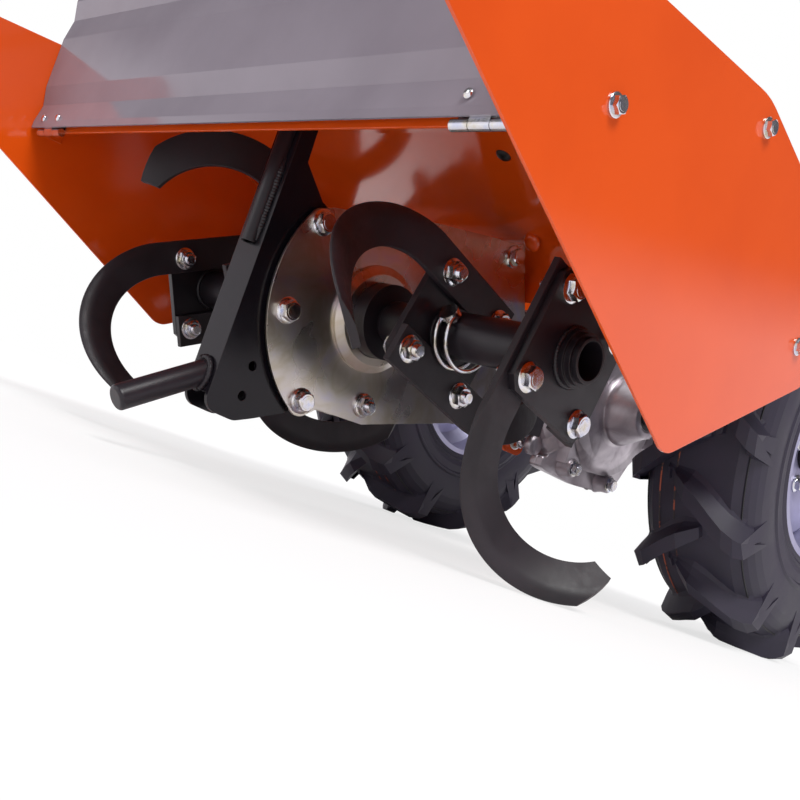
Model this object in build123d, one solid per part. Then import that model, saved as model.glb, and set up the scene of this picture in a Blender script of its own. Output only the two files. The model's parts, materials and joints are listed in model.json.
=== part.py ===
# Rear tine unit of a walk-behind rotavator, on its wheel gearbox and two driving wheels.
# Frame: +X is the machine's right, +Y is ahead, +Z is up, millimetres. The floor is z = 0, and the
# origin lies on it, under the middle of the whole unit. It stands on its two wheels and its tines.
import os
from math import cos, radians, sin, tan

from build123d import *

# ---------------------------------------------------------------- driving sizes
wheel_r = 206.0          # over the lugs
axle_ahead = 395.0       # axle ahead of the rotor's axis
rotor_z = 168.0          # rotor's axis above the floor
hood_tail = 330.0        # side plates' tails behind the rotor's axis
hood_w = 650.0           # over both side plates
sheet_t = 2.0
run_gap = 0.3            # between pieces that only touch
bore_gap = 0.06          # radial gap of a shaft in its bore

axle_z = wheel_r
rotor_y = (hood_tail - axle_ahead - wheel_r) / 2
axle_y = rotor_y + axle_ahead

os.makedirs("parts", exist_ok=True)


def keep(name, solid):
    export_step(solid, f"parts/{name}.step")


def keep_pair(name, right):
    """The right piece, and its mirror image on the left."""
    keep(name + "_right", right)
    keep(name + "_left", mirror(right, about=Plane.YZ))


def side_face(points, rounds=()):
    """A closed side-view outline of (y, z) points; rounds holds (point's index, radius)."""
    face = make_face(Polyline(*points, close=True))
    for i, radius in rounds:
        corner = face.vertices().sort_by_distance(Vector(*points[i], 0))[0]
        face = fillet(corner, radius)
    return face


def discs(centres, radius):
    """Side-view discs, one on each (y, z) centre."""
    return [Pos(y, z) * Circle(radius) for y, z in centres]


def stand(face, x_from, x_to):
    """A side-view face given its thickness, from x_from to x_to."""
    low, high = sorted((x_from, x_to))
    return extrude(Plane(origin=(low, 0, 0), x_dir=(0, 1, 0), z_dir=(1, 0, 0)) * face, amount=high - low)


def bar(radius, x_from, x_to, y=0.0, z=0.0):
    """A round bar along X."""
    return stand(Pos(y, z) * Circle(radius), x_from, x_to)


def turned(profile):
    """A closed outline of (x, radius) points turned about the X axis."""
    return revolve(make_face(Polyline(*profile, close=True)), Axis.X)


at_rotor = Pos(0, rotor_y, rotor_z)
at_axle = Pos(0, axle_y, axle_z)

# ---------------------------------------------------------------- wheels, turned about x = 0, y = 0, z = 0
track = 465.0            # between the tyres' middles
tyre_w = 112.0
lug_count = 13           # on each half of the tread
lug_phase = (0.19, 0.675)                         # outboard and inboard half, in pitches
lug_h = 18.0
lug_w = 24.0
lug_sweep = 46.0         # how far a lug's shoulder trails its middle end
tread_r = wheel_r - lug_h
bead_r = 101.0
bead_w = 88.0
rim_t = 3.0
rim_lip = 5.0
disc_x = 12.0            # the rim's disc, outboard of the tyre's middle
disc_r = 84.0            # flat part of the disc
window_r, window_at, window_count = 13.0, 62.0, 4
hub_r, hub_in, hub_out = 19.0, 58.0, 26.0
hub_flange_r, hub_flange_t = 45.0, 5.0
axle_r = 12.5


def tyre():
    half = tyre_w / 2
    bead = bead_w / 2
    wall = [(bead, bead_r), (bead, bead_r + 12), (half - 2, bead_r + 34), (half - 2, tread_r - 24),
            (half - 10, tread_r - 7), (half - 18, tread_r)]
    body = turned([(-x, r) for x, r in wall] + [(x, r) for x, r in reversed(wall)])
    top = [(half, tread_r - 32), (half, wheel_r - 13), (half - 9, wheel_r - 4), (26, wheel_r)]
    crown = turned([(-x, r) for x, r in top] + [(x, r) for x, r in reversed(top)])
    foot = Polyline((0, -lug_w / 2), (half + 1, -lug_w / 2 - lug_sweep), (half + 1, lug_w / 2 - lug_sweep),
                    (0, lug_w / 2), close=True)
    right = extrude(Pos(0, 0, tread_r - 34) * make_face(foot), amount=lug_h + 40, dir=(0, 0, 1)) & crown
    left = mirror(right, about=Plane.YZ)
    for i in range(lug_count):
        body += Rot((i + lug_phase[0]) * 360 / lug_count, 0, 0) * right
        body += Rot((i + lug_phase[1]) * 360 / lug_count, 0, 0) * left
    return body


def rim():
    seat = bead_r - run_gap
    lip = bead_w / 2 + run_gap
    barrel = turned([(-lip, seat - rim_t), (-lip, seat), (lip, seat), (lip, seat - rim_t)])
    edge = turned([(lip, seat - rim_t), (lip, seat + rim_lip), (lip + rim_t, seat + rim_lip),
                   (lip + rim_t, seat - rim_t)])
    disc = turned([(disc_x, hub_r + run_gap), (disc_x, disc_r), (0, seat - rim_t), (rim_t, seat - rim_t),
                   (disc_x + rim_t, disc_r), (disc_x + rim_t, hub_r + run_gap)])
    for i in range(window_count):
        disc -= Rot(360 * (i + 0.5) / window_count, 0, 0) * bar(window_r, 0, 2 * disc_x, window_at)
    return barrel + edge + mirror(edge, about=Plane.YZ) + disc


def hub():
    body = bar(hub_r, -hub_in, hub_out) + bar(hub_flange_r, disc_x - run_gap - hub_flange_t, disc_x - run_gap)
    return body - bar(axle_r + bore_gap, -hub_in, hub_out)


at_wheel = Pos(track / 2, axle_y, axle_z)
axle_start = 34.0
axle_past_hub = 8.0
keep_pair("tyre", at_wheel * tyre())
keep_pair("wheel_rim", at_wheel * rim())
keep_pair("wheel_hub", at_wheel * hub())
keep_pair("axle_shaft", at_axle * bar(axle_r, axle_start, track / 2 + hub_out + axle_past_hub))

# ---------------------------------------------------------------- wheel gearbox, about its axle
case_back, case_front, case_top = -108.0, 104.0, 106.0
flange_half = 8.0        # half width of the bolted flange round the castings
body_half = 24.0
horn_end = 66.0          # outer end of an axle horn
seal_r, seal_t = 18.0, 6.0
pad_half, pad_len, pad_t = 34.0, 120.0, 10.0       # column pad on top
pad_bolt_x, pad_bolt_y, pad_hole_r = 24.0, 46.0, 5.25
ear_r = 11.0             # bosses that carry the frame plates, the lower on the left only
ear_bolts = [(-90, 60), (-92, -76)]
frame_x = 30.0           # inner face of a frame plate
frame_t = 3.0

body_r = 80.0            # the casting's round part
body_blocks = [(20, 40, 130, 110), (-60, 30, 70, 90)]   # y, z, length and height of its square parts
horn_root, horn_r, horn_tip_r = [(0, 66), (5, 54)], 45.0, 27.0
casting = [(case_back, case_top), (case_back, -44), (-89, -66), (-74, -82), (-84, -85), (-84, -96), (-70, -98),
           (-3, -100), (45, -96), (72, -78), (86, -47), (case_front, -10), (case_front, case_top)]
casting_rounds = [(0, 12), (2, 14), (3, 3), (4, 2), (5, 3), (8, 14), (9, 14), (12, 14)]
horn = [(body_half, 0), *[(body_half + x, r) for x, r in horn_root], (body_half + horn_root[1][0], horn_r),
        (horn_end, horn_tip_r), (horn_end, 0)]


def gearbox_half(ears):
    half = stand(side_face(casting, casting_rounds), 0, flange_half)
    blocks = [Pos(y, z) * Rectangle(long, high) for y, z, long, high in body_blocks]
    half += stand(Circle(body_r) + blocks, flange_half, body_half)
    half += turned(horn)
    pad = Pos(pad_half / 2, 0, case_top - pad_t / 2) * Box(pad_half, pad_len, pad_t)
    for y in (-pad_bolt_y, pad_bolt_y):
        pad -= Pos(pad_bolt_x, y, case_top) * Cylinder(pad_hole_r, 3 * pad_t)
    half += pad
    for y, z in ears:
        half += bar(ear_r, 0, frame_x - run_gap, y, z)
    half -= bar(axle_r + bore_gap, 0, horn_end + 1)
    return at_axle * (half - bar(seal_r, horn_end - seal_t, horn_end + 1))


keep("gearbox_half_right", gearbox_half(ear_bolts[:1]))
keep("gearbox_half_left", mirror(gearbox_half(ear_bolts), about=Plane.YZ))
seal = bar(seal_r - bore_gap, horn_end - seal_t, horn_end - 1) - bar(axle_r + bore_gap, 0, horn_end)
keep_pair("axle_seal", at_axle * seal)

bell_side, bell_len, bell_t = 150.0, 30.0, 10.0
engine_pcd, engine_hole_r, pilot_r = 92.1, 4.25, 30.0
shaft_z = 20.0           # input shaft above the axle
input_r, input_out = 9.5, 14.0
bell_y = case_front + run_gap
bell = Pos(0, bell_y + bell_len / 2, shaft_z) * Rot(90, 0, 0) * Cone(58, 46, bell_len)
bell += Pos(0, bell_y + bell_len - bell_t / 2, shaft_z) * Rot(90, 0, 0) * Cylinder(62, bell_t)
for i in range(4):
    a = radians(45 + 90 * i)
    hole = Pos(engine_pcd / 2 * cos(a), bell_y, shaft_z + engine_pcd / 2 * sin(a)) * Rot(90, 0, 0)
    bell -= hole * Cylinder(engine_hole_r, 3 * bell_len)
bell -= Pos(0, bell_y, shaft_z) * Rot(90, 0, 0) * Cylinder(pilot_r, 3 * bell_len)
keep("engine_flange", at_axle * bell)
input_len = bell_len + input_out
at_input = at_axle * Pos(0, bell_y + input_len / 2, shaft_z) * Rot(90, 0, 0)
keep("input_shaft", at_input * Cylinder(input_r, input_len))

# ---------------------------------------------------------------- drive case, about the rotor's axis
case_half = 12.4
case_r = 78.0
shield_x = 20.0          # inner face of a zinc shield
shield_t = 2.5
dome_r, dome_h = 46.0, 7.0
collar_r, collar_end = 32.0, 45.0
shaft_r = 16.5
to_gearbox = axle_ahead + case_back - run_gap
arm = [(0, -case_r), (150, -46), (to_gearbox, -30), (to_gearbox, 118), (205, 80), (0, case_r)]
case = stand(Circle(case_r) + side_face(arm), -case_half, case_half) + bar(collar_r, -collar_end, collar_end)
keep("drive_case", at_rotor * (case - bar(shaft_r + bore_gap, -60, 60)))

rear_bolts = [(-86, 51), (-90, -25), (-46, -88)]   # these also pass through the bracket's cheeks
arm_bolts = [(20, -72), (141, 117)]
shield_rounds = [((-44, -103), 12), ((-95, 59), 8), ((196, 56), 10)]   # corner, radius
rear_arc = ThreePointArc((-44, -103), (-107, -33), (-95, 59))
rest = Polyline((-95, 59), (-78, 67), (-31, 81), (25, 101), (151, 133), (196, 56), (188, -42), (144, -54),
                (129, -57), (26, -88), (-28, -90), (-44, -103))
shield_face = make_face([rear_arc, *rest.edges()])
for corner, radius in shield_rounds:
    shield_face = fillet(shield_face.vertices().sort_by_distance(Vector(*corner, 0))[0], radius)
shield = stand(shield_face, shield_x, shield_x + shield_t)
shield += turned([(shield_x + shield_t, 0), (shield_x + shield_t, dome_r), (shield_x + shield_t + 3, dome_r),
                  (shield_x + shield_t + dome_h, dome_r - 7), (shield_x + shield_t + dome_h, 0)])
shield -= bar(collar_r + run_gap, 0, 60)
for y, z in rear_bolts + arm_bolts:
    shield -= bar(4.25, 0, 60, y, z)
keep_pair("case_shield", at_rotor * shield)

# ---------------------------------------------------------------- stake bracket, its tube and the foot rod
cheek_in = case_half + run_gap
cheek_t = 3.5
web_y = -129.0           # rear face of the web
cheek = [(web_y, -120), (-99, -122), (-84, -116), (-55, -103), (-34, -86), (-62, 0), (-70, 62), (-88, 67),
         (-114, 88), (-115, 111), (-115, 190), (web_y, 190)]
cheek_rounds = [(0, 12), (1, 14), (2, 14), (4, 20)]
web_low = -108.0
stake_holes = [(-98.5, -76), (-98.5, -101)]
stake_hole_r = 4.0
tube_r, tube_wall, tube_low = 8.0, 2.5, 14.0       # the tube sits in a slot down the web
rod_r, rod_low, rod_out, rod_fall = 10.0, -94.0, 75.0, 33.0

# ---------------------------------------------------------------- hood, about the rotor's axis
lip_y, lip_low = -184.5, 78.5
front_y, front_low = 184.0, 86.0
hood_corners = [(lip_y, -200), (lip_y, 162), (-18, 183.5), (front_y, 139), (front_y, -200)]
hood_rounds = [(1, 80), (2, 150), (3, 40)]
hood_half = hood_w / 2 - sheet_t - run_gap
end_flange = 22.0
plate_bolts = [(-157, 104), (-4, 171), (137, 70)]


def under_hood(inset):
    """The side-view space inside the hood, inset from its outer surface."""
    face = side_face(hood_corners, hood_rounds)
    return offset(face, amount=-inset, kind=Kind.INTERSECTION) if inset else face


below = side_face([(2 * lip_y, lip_low), (lip_y + 10, lip_low), (front_y - 10, front_low),
                   (2 * front_y, front_low), (2 * front_y, -400), (2 * lip_y, -400)])
skin = stand(under_hood(0) - under_hood(sheet_t) - below, -hood_half, hood_half)
keep("hood_sheet", at_rotor * skin)
inside = under_hood(sheet_t + run_gap)
flange_face = inside - under_hood(end_flange) - below
tab = side_face([(124, 60), (150, 58), (front_y - sheet_t, 84), (front_y - sheet_t, 100), (150, 100)])
flange_face += [tab, *discs(plate_bolts, 12)]
keep_pair("hood_flange", at_rotor * stand(flange_face & inside, hood_half - sheet_t, hood_half))

plate = side_face(
    [(-hood_tail, 101), (-hood_tail, 149), (-12, 188), (211, 138), (164, 46), (7, -51)],
    [(0, 14), (1, 24), (2, 70), (3, 50), (4, 14), (5, 20)])
keep_pair("side_plate", at_rotor * stand(plate, hood_w / 2 - sheet_t, hood_w / 2))

room = stand(under_hood(sheet_t + run_gap), -60, 60)
cheeks = stand(side_face(cheek, cheek_rounds), cheek_in, cheek_in + cheek_t)
cheeks -= [bar(stake_hole_r, 0, 60, y, z) for y, z in stake_holes]
web = side_face([(web_y, web_low), (web_y + cheek_t, web_low), (web_y + cheek_t, 190), (web_y, 190)])
bracket = cheeks + mirror(cheeks, about=Plane.YZ) + stand(web, -cheek_in - 1, cheek_in + 1)
tube_len = 200.0         # trimmed under the hood
at_tube = Pos(0, web_y, tube_low + tube_len / 2)
bracket -= at_tube * Cylinder(tube_r + run_gap, tube_len + 2 * run_gap)
keep("stake_bracket", at_rotor * (bracket & room))
tube = at_tube * (Cylinder(tube_r, tube_len) - Cylinder(tube_r - tube_wall, tube_len))
keep("stake_tube", at_rotor * (tube & room))
rod_root = 12.0          # taken off where the rod meets the web
rod_end_r = 3.0
rod = Pos(0, web_y, rod_low) * Rot(90 + rod_fall, 0, 0) * Pos(0, 0, (rod_out - rod_root) / 2)
stick = Cylinder(rod_r, rod_out + rod_root)
rod *= fillet(stick.edges().sort_by(Axis.Z)[-1], rod_end_r)
behind_web = Pos(0, web_y - run_gap - 100, rod_low) * Box(60, 200, 300)
keep("foot_rod", at_rotor * (rod & behind_web))

# spacers hold the shields off the case, or off the bracket's cheeks
spacers = []
for side in (-1, 1):
    for y, z in rear_bolts:
        spacers.append(bar(8, side * (cheek_in + cheek_t), side * (shield_x - run_gap), y, z))
    for y, z in arm_bolts:
        spacers.append(bar(8, side * case_half, side * (shield_x - run_gap), y, z))
keep("shield_spacers", at_rotor * Compound(children=spacers))

# frame plates tie the hood's front wall to the gearbox's bosses
frame_back = front_y + run_gap
frame_foot = [(axle_ahead + y, axle_z - rotor_z + z) for y, z in ear_bolts]
(high_y, high_z), (low_y, low_z) = frame_foot      # the bosses' middles
frame_h, web_h = 42.0, 22.0                        # plate and its web, along the hood's front wall
frame_top = [(frame_back, front_low), (frame_back, front_low + frame_h), (high_y + 30, high_z + 30)]
long_frame = [(high_y + 30, high_z - 28), (low_y + 14, low_z + 38), (low_y + 18, low_z - 16),
              (low_y - 18, low_z - 16), (low_y - 24, low_z + 48)]     # reaches both bosses, on the left
short_frame = [(high_y + 30, high_z - 18)]         # reaches the upper boss, on the right
frame_web = side_face([(frame_back, front_low), (frame_back, front_low + web_h),
                       (frame_back + frame_t, front_low + web_h), (frame_back + frame_t, front_low)])
frame_web_w = 34.0


def frame_plate(outline, rounds, bolts):
    plate = stand(side_face(frame_top + outline, rounds), frame_x, frame_x + frame_t)
    plate += stand(frame_web, frame_x, frame_x + frame_web_w)
    for y, z in bolts:
        plate -= bar(5.25, 0, 60, y, z)
    return at_rotor * plate


keep("frame_plate_right", frame_plate(short_frame, [(2, 10), (3, 10)], frame_foot[:1]))
keep("frame_plate_left", mirror(frame_plate(long_frame, [(5, 10), (6, 10)], frame_foot), about=Plane.YZ))

# ---------------------------------------------------------------- flap and its hinges
leaf_t = 1.2
leaf_h = 15.0            # the fixed leaf
flap_leaf_h = 6.0
knuckle_r, pin_r = 3.6, 1.5
hinge_len = 46.0
hinge_at = (37.5 - hood_w / 2, hood_w / 2 - 58.5)
moving_len = 17.0        # the flap's knuckle, between two fixed ones
hinge_y = lip_y - 0.1 - knuckle_r
hinge_z = lip_low - 1.5
flap_half = hood_half - 1.2
flap_low, flap_top = 3.0, 206.0
flap_t = sheet_t
grooves = [(9, 27, 45), (94, 115, 133)]            # lower edge, floor and upper edge
groove_depth = 3.5

at_hinge = Pos(0, rotor_y + hinge_y, rotor_z + hinge_z)
flap_front = -knuckle_r - 0.1
front, back = [(flap_front, flap_low)], [(flap_front - flap_t, flap_low)]
for low, floor, high in grooves:
    for side, y in ((front, flap_front), (back, flap_front - flap_t)):
        side += [(y, low), (y + groove_depth, floor), (y, high)]
front.append((flap_front, flap_top))
back.append((flap_front - flap_t, flap_top))
keep("flap_panel", at_hinge * stand(side_face(front + back[::-1]), -flap_half, flap_half))

fixed, moving = [], []
leaf = side_face([(knuckle_r - leaf_t, 0), (knuckle_r, 0), (knuckle_r, leaf_h), (knuckle_r - leaf_t, leaf_h)])
flap_leaf = side_face([(-knuckle_r, 0), (leaf_t - knuckle_r, 0), (leaf_t - knuckle_r, flap_leaf_h),
                       (-knuckle_r, flap_leaf_h)])
for x in hinge_at:
    x_in, x_out = x - hinge_len / 2, x + hinge_len / 2
    window = bar(2 * knuckle_r, x - moving_len / 2, x + moving_len / 2)
    fixed.append(stand(Circle(knuckle_r) + leaf, x_in, x_out) - window + bar(pin_r, x_in, x_out))
    near, far = x - moving_len / 2 + 0.5, x + moving_len / 2 - 0.5
    moving.append(stand(Circle(knuckle_r) + flap_leaf, near, far) - bar(pin_r + bore_gap, near, far))
keep("hinge_leaves", at_hinge * Compound(children=fixed))
keep("flap_leaves", at_hinge * Compound(children=moving))

# ---------------------------------------------------------------- rotor, about its own axis
shaft_wall = 2.4
shaft_end = 251.0
sleeve_start, sleeve_end, sleeve_r = 50.0, 247.0, 19.0
ring_r, ring_w = 21.0, 6.3                        # rings beside the plates
plate_x = (110.0, 233.0) # inner and outer tine plates' middles
plate_side, plate_t, plate_cut = 97.0, 6.0, 8.0
tine_bolt_r, tine_hole_r = 50.0, 5.25
tine_t, tine_w = 6.0, 31.3
tine_arc_at, tine_arc_r = (-52.6, 61.8), 89.8      # centre and middle line of the flat blade's curve
tine_back = 110.0        # straight shank behind the curve
tip_out, tip_point, tip_in = 105.0, 122.5, 118.0   # ends of the curve's outer edge, middle and inner edge
bend_way = 147.5         # direction that the blade bends along, from the plate's side
bend_at, bend_r, bend_turn, bend_count = 29.4, 126.6, 60.0, 8
pin_x, lock_r, wire_r, wire_ring_r, ring_x = 127.5, 4.0, 1.8, 25.5, 6.0
pin_turn = 63.0          # the pin's head leans to the rear
head_r, head_t = 8.0, 7.0

at_pin = [Pos(side * pin_x, 0, 0) * Rot(pin_turn, 0, 0) for side in (1, -1)]
pin_hole = Cylinder(lock_r + bore_gap, 80)
shaft = bar(shaft_r, -shaft_end, shaft_end)
for side in (-1, 1):
    shaft -= bar(shaft_r - shaft_wall, side * (shaft_end - 60), side * shaft_end)
for place in at_pin:
    shaft -= place * pin_hole
keep("rotor_shaft", at_rotor * shaft)


def tine_plate(x, facing):
    """A square plate with one side square to the direction facing, and a bolt hole at each corner."""
    square = Rectangle(plate_side, plate_side)
    square = chamfer(square.vertices(), plate_cut)
    square -= [Rot(0, 0, 45 + 90 * i) * Pos(tine_bolt_r, 0) * Circle(tine_hole_r) for i in range(4)]
    return stand(Rot(0, 0, facing) * square, x - plate_t / 2, x + plate_t / 2)


def tine_hub(side, facings):
    body = bar(sleeve_r, side * sleeve_start, side * sleeve_end)
    for x, facing in zip(plate_x, facings):
        body += tine_plate(side * x, facing) + bar(ring_r, side * x, side * (x + plate_t / 2 + ring_w))
    body -= bar(shaft_r + bore_gap, side * sleeve_start, side * sleeve_end)
    return body - at_pin[0 if side > 0 else 1] * pin_hole


def on_curve(radius, angle):
    a = radians(angle)
    return Vector(tine_arc_at[0] + radius * cos(a), tine_arc_at[1] + radius * sin(a))


def tine_outline():
    """The blade's flat blank: a straight shank, a curve and a pointed tip."""
    outer, inner = tine_arc_r + tine_w / 2, tine_arc_r - tine_w / 2
    shank = Vector(0, -tine_back)
    return make_face([
        Line(on_curve(inner, 0) + shank, on_curve(outer, 0) + shank),
        Line(on_curve(outer, 0) + shank, on_curve(outer, 0)),
        ThreePointArc(on_curve(outer, 0), on_curve(outer, tip_out / 2), on_curve(outer, tip_out)),
        Line(on_curve(outer, tip_out), on_curve(tine_arc_r, tip_point)),
        Line(on_curve(tine_arc_r, tip_point), on_curve(inner, tip_in)),
        ThreePointArc(on_curve(inner, tip_in), on_curve(inner, tip_in / 2), on_curve(inner, 0)),
        Line(on_curve(inner, 0), on_curve(inner, 0) + shank),
    ])


def folded(flat, start, radius, turn, count):
    """A plate lying on XY, bent up along X from x = start by a row of small mitred folds."""
    step = turn / count
    lean = tan(radians(step / 2))
    pitch = 2 * radius * lean
    reach, half = 400.0, 200.0
    place, low, bent = Pos(0, 0, 0), -reach, None
    for i in range(count + 1):
        high = start + (i + 0.5) * pitch if i < count else reach
        lean_low, lean_high = lean if i else 0, lean if i < count else 0
        wedge = Polyline((low - lean_low * tine_t, -tine_t), (low + lean_low * tine_t, tine_t),
                         (high - lean_high * tine_t, tine_t), (high + lean_high * tine_t, -tine_t), close=True)
        piece = place * (flat & extrude(Plane.XZ * make_face(wedge), amount=half, both=True))
        bent = piece if bent is None else bent + piece
        place = place * Pos(high, 0, 0) * Rot(0, -step, 0) * Pos(-high, 0, 0)
        low = high
    return bent


def tine_blade():
    a = radians(bend_way)
    flat = extrude(Rot(0, 0, -bend_way) * tine_outline(), amount=tine_t / 2, both=True)
    along = Plane(origin=(0, 0, 0), x_dir=(0, cos(a), sin(a)), z_dir=(1, 0, 0))
    blade = along * folded(flat, bend_at, bend_r, bend_turn, bend_count)
    for turn in (-45, 45):
        blade -= Rot(turn, 0, 0) * bar(tine_hole_r, -60, 60, tine_bolt_r)
    return blade


blade_to_right = tine_blade()
blade_to_left = mirror(blade_to_right, about=Plane.YZ)
inner_tine = plate_x[0] + (plate_t + tine_t) / 2
outer_tine = plate_x[1] - (plate_t + tine_t) / 2
facings = {"right": (76.5, 168.8), "left": (36.0, 118.0)}    # direction of the inner and outer plates' sides
tines = [  # name, side of the machine, blade's place along X, direction of its plate's side, way it bends
    ("right_inner_a", 1, inner_tine, facings["right"][0], 1),
    ("right_inner_b", 1, inner_tine, facings["right"][0] + 180, -1),
    ("right_outer_a", 1, outer_tine, facings["right"][1], 1),
    ("right_outer_b", 1, outer_tine, facings["right"][1] + 180, -1),
    ("left_inner_a", -1, inner_tine, facings["left"][0], -1),
    ("left_inner_b", -1, inner_tine, facings["left"][0] + 180, 1),
    ("left_outer_a", -1, outer_tine, facings["left"][1], 1),
    ("left_outer_b", -1, outer_tine, facings["left"][1] + 180, -1),
]
keep("tine_hub_right", at_rotor * tine_hub(1, facings["right"]))
keep("tine_hub_left", at_rotor * tine_hub(-1, facings["left"]))
for name, side, x, turn, way in tines:
    blade = blade_to_right if way > 0 else blade_to_left
    keep("tine_" + name, at_rotor * Pos(side * x, 0, 0) * Rot(turn, 0, 0) * blade)

pin = Cylinder(lock_r, 2 * sleeve_r + 12) + Pos(0, 0, sleeve_r + 5) * Cylinder(head_r, head_t)
ring_z = sleeve_r + 5 - wire_ring_r
near_half = Pos(0, -wire_ring_r, 0) * Box(3 * ring_x, 2 * wire_ring_r, 4 * wire_ring_r)
for x in (-ring_x, ring_x):                        # the spring wire, two half rings from the head to the tail
    pin += Pos(x, 0, ring_z) * Rot(0, 90, 0) * Torus(wire_ring_r, wire_r) & near_half
pin += Pos(0, 0, ring_z - wire_ring_r) * Rot(0, 90, 0) * Cylinder(wire_r, 2 * ring_x)
keep_pair("lock_pin", at_rotor * at_pin[0] * pin)
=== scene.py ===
# Looks of the rotavator's tine unit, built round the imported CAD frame. Metres, +X right, +Y ahead, +Z up.
import json
import math
import random

import bmesh
import bpy
from mathutils import Matrix, Vector, noise


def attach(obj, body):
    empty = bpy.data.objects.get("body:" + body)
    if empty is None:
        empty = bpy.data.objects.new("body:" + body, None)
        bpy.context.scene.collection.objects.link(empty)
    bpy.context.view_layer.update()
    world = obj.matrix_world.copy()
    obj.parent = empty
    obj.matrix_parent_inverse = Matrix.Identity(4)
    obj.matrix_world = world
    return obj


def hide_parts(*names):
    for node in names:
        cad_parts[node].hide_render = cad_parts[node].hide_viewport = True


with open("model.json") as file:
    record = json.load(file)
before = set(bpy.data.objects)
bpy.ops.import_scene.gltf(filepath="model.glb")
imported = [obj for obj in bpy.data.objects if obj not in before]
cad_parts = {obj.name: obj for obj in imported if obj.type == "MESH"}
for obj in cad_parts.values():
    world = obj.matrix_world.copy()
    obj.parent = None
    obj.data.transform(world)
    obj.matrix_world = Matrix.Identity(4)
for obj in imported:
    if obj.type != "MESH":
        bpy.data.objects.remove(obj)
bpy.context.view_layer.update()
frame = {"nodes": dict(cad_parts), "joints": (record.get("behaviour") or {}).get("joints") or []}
mm = 0.001
joints = {row["name"]: Vector(row["pos_m"]) for row in frame["joints"]}
rotorAxis = Vector((0, joints["rotor_spin"].y, joints["rotor_spin"].z))
axleAxis = Vector((0, joints["wheel_right_spin"].y, joints["wheel_right_spin"].z))
hingeAxis = joints["flap_swing"]
print("frame loaded:", len(frame["nodes"]), "CAD nodes")

# camera, lamps and floor
camera = {
    "place": (0.6516, -0.6890, 0.0478),
    "right": (0.6827, 0.6509, 0.3321),
    "up": (-0.2198, -0.2505, 0.9428),
    "lens": 43.93,
    "shift": (-0.01075, 0.06425),
}
lamps = [  # name, where the light comes from, width in degrees, strength
    ("keySoftbox", (0.58, -0.30, 0.80), 26, 2.5),
    ("fillSoftbox", (-0.35, -0.85, 0.45), 34, 0.45),
    ("backSoftbox", (-0.30, 0.75, 0.60), 34, 0.7),
]
studio = {
    "floorColour": "#F6F6F6", "floorDeep": "#F4F4F4", "floorGlow": 0.72, "floorHalf": 9.0, "floorDrop": 0.2,
    "roomLow": 1.0, "roomHigh": 0.14, "sweepTop": 0.27, "sweepBlur": 0.035, "diffuse": 0.5,
    "roomTint": "#FFF8FF",
}


def linear(text):
    # sRGB hex to linear light
    values = [int(text[i:i + 2], 16) / 255 for i in (1, 3, 5)]
    return tuple(v / 12.92 if v <= 0.04045 else ((v + 0.055) / 1.055) ** 2.4 for v in values) + (1.0,)


def addNode(tree, kind, sockets=None, stops=(), **settings):
    # one node with its settings, its values or links, and a ramp's (place, hex) colours
    made = tree.nodes.new(kind)
    for name, value in settings.items():
        setattr(made, name, value)
    for name, value in (sockets or {}).items():
        if isinstance(value, bpy.types.NodeSocket):
            tree.links.new(value, made.inputs[name])
        else:
            made.inputs[name].default_value = value
    while stops and len(made.color_ramp.elements) < len(stops):
        made.color_ramp.elements.new(0.5)
    for i, (place, colour) in enumerate(stops):
        band = made.color_ramp.elements[i]
        band.position, band.color = place, linear(colour)
    return made


scene = bpy.context.scene
scene.view_settings.view_transform = "Standard"

eye = bpy.data.cameras.new("camera")
eye.lens, eye.sensor_width = camera["lens"], 36
eye.shift_x, eye.shift_y = camera["shift"]
eye.clip_start = 0.01
right, up = Vector(camera["right"]).normalized(), Vector(camera["up"]).normalized()
eyeObject = bpy.data.objects.new("camera", eye)
turned = Matrix((right, up, right.cross(up))).transposed().to_4x4()
eyeObject.matrix_world = Matrix.Translation(camera["place"]) @ turned
scene.collection.objects.link(eyeObject)
scene.camera = eyeObject

for name, source, width, strength in lamps:
    light = bpy.data.lights.new(name, "SUN")
    light.angle, light.energy = math.radians(width), strength
    lamp = bpy.data.objects.new(name, light)
    lamp.matrix_world = Vector(source).to_track_quat("Z", "Y").to_matrix().to_4x4()
    scene.collection.objects.link(lamp)

world = bpy.data.worlds.new("studio")
scene.world = world
world.use_nodes = True
tree = world.node_tree
tree.nodes.clear()
path = addNode(tree, "ShaderNodeLightPath")
ray = addNode(tree, "ShaderNodeTexCoord")
height = addNode(tree, "ShaderNodeSeparateXYZ", {"Vector": ray.outputs["Generated"]})
# a low white sweep all round, and a dim room above it that the gloss shows
sweep = addNode(tree, "ShaderNodeMapRange", {
    "Value": height.outputs["Z"],
    "From Min": studio["sweepTop"] - studio["sweepBlur"], "From Max": studio["sweepTop"] + studio["sweepBlur"],
    "To Min": studio["roomLow"], "To Max": studio["roomHigh"]})
byCamera = path.outputs["Is Camera Ray"]
byGloss, byGlass = path.outputs["Is Glossy Ray"], path.outputs["Is Transmission Ray"]
seen = addNode(tree, "ShaderNodeMath", {0: byGloss, 1: byGlass}, operation="MAXIMUM")
soft = addNode(tree, "ShaderNodeMix", {
    "Factor": seen.outputs[0], "A": studio["diffuse"], "B": sweep.outputs[0]}, data_type="FLOAT")
shown = addNode(tree, "ShaderNodeMix", {"Factor": byCamera, "A": soft.outputs[0], "B": 1.0}, data_type="FLOAT")
tint = addNode(tree, "ShaderNodeMix", {
    "Factor": byCamera, "A": linear(studio["roomTint"]), "B": linear("#FFFFFF")}, data_type="RGBA")
glow = addNode(tree, "ShaderNodeBackground", {"Color": tint.outputs[2], "Strength": shown.outputs[0]})
addNode(tree, "ShaderNodeOutputWorld", {"Surface": glow.outputs[0]})


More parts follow.
